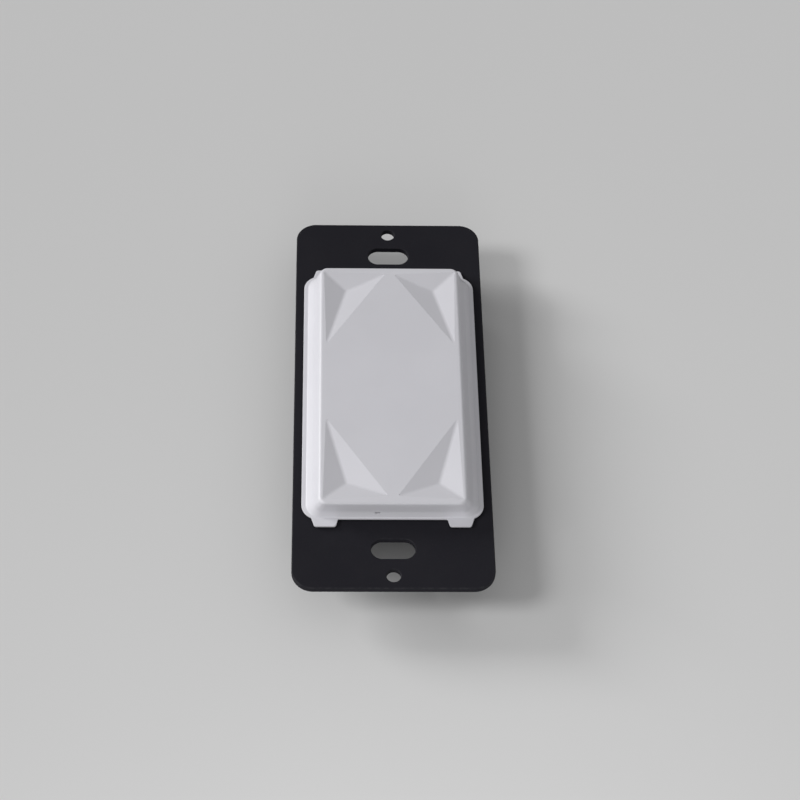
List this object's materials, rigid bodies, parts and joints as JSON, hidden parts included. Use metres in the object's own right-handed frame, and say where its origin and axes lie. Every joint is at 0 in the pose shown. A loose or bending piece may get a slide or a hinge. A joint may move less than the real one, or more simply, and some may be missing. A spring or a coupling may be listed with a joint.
{
  "type": "touch switch",
  "caption": "wall touch switch: matt black strap plate with a white floating cover whose four corner facets frame a cross-shaped face, pressed to switch; sealed rear housing behind",
  "frame": {"origin": "centre of the mounting plate on its back face, midway between the two cover-screw holes", "axes": "+X to the right and +Y up the wall as seen from the front, +Z out of the wall towards the user"},
  "size_m": [0.0444, 0.1034, 0.0171],
  "materials": {
    "plate_black": "fine matt black powder coat on steel sheet",
    "cover_white": "satin white moulded plastic",
    "pipe_clear": "clear moulded acrylic, seen as a dark slit",
    "housing_black": "fine textured black moulded plastic",
    "board_green": "green solder mask over glass laminate",
    "switch_black": "matt black moulded plastic",
    "pressed_steel": "tinned pressed sheet steel",
    "spring_steel": "bright spring steel",
    "lamp_resin": "milky lamp resin",
    "chip_black": "matt black moulding compound",
    "capacitor_ceramic": "fired tan ceramic",
    "reservoir_resin": "matt amber moulding compound",
    "contact_nickel": "nickel-plated sheet",
    "holder_black": "matt black high-temperature plastic",
    "cell_steel": "bright nickel-plated steel can",
    "screw_steel": "zinc-plated steel"
  },
  "bodies": {
    "base": {"mounting_plate": "plate_black", "deck": "housing_black", "circuit_board": "board_green", "switch_base_lower": "switch_black", "switch_base_upper": "switch_black", "switch_frame_lower": "pressed_steel", "switch_frame_upper": "pressed_steel", "switch_dome_lower": "spring_steel", "switch_dome_upper": "spring_steel", "indicator_lamp": "lamp_resin", "radio_shield": "pressed_steel", "radio_chip": "chip_black", "crystal": "pressed_steel", "capacitor_1": "capacitor_ceramic", "capacitor_2": "capacitor_ceramic", "capacitor_3": "capacitor_ceramic", "capacitor_4": "capacitor_ceramic", "reservoir_capacitor": "reservoir_resin", "antenna": "contact_nickel", "cell_holder": "holder_black", "front_contact": "contact_nickel", "rear_contact": "contact_nickel", "coin_cell": "cell_steel", "rear_housing": "housing_black", "battery_door": "housing_black", "door_screw": "screw_steel", "board_screws": "screw_steel", "housing_screws": "screw_steel"},
    "cover": {"touch_cover": "cover_white", "light_pipe": "pipe_clear"},
    "plunger_low": {"plunger_lower": "switch_black"},
    "plunger_up": {"plunger_upper": "switch_black"}
  },
  "joints": [
    {"name": "cover_press", "type": "slide", "parent": "base", "child": "cover", "axis": [0, 0, -1], "range_m": [0, 0.0003], "stiffness_N_per_m": 2000, "springref_m": -0.001},
    {"name": "lower_plunger_press", "type": "slide", "parent": "base", "child": "plunger_low", "axis": [0, 0, -1], "range_m": [0, 0.0003], "deforming": ["switch_dome_lower"]},
    {"name": "upper_plunger_press", "type": "slide", "parent": "base", "child": "plunger_up", "axis": [0, 0, -1], "range_m": [0, 0.0003], "deforming": ["switch_dome_upper"]}
  ],
  "couplings": [
    {"joint": "lower_plunger_press", "follows": "cover_press", "ratio": 1},
    {"joint": "upper_plunger_press", "follows": "cover_press", "ratio": 1}
  ]
}
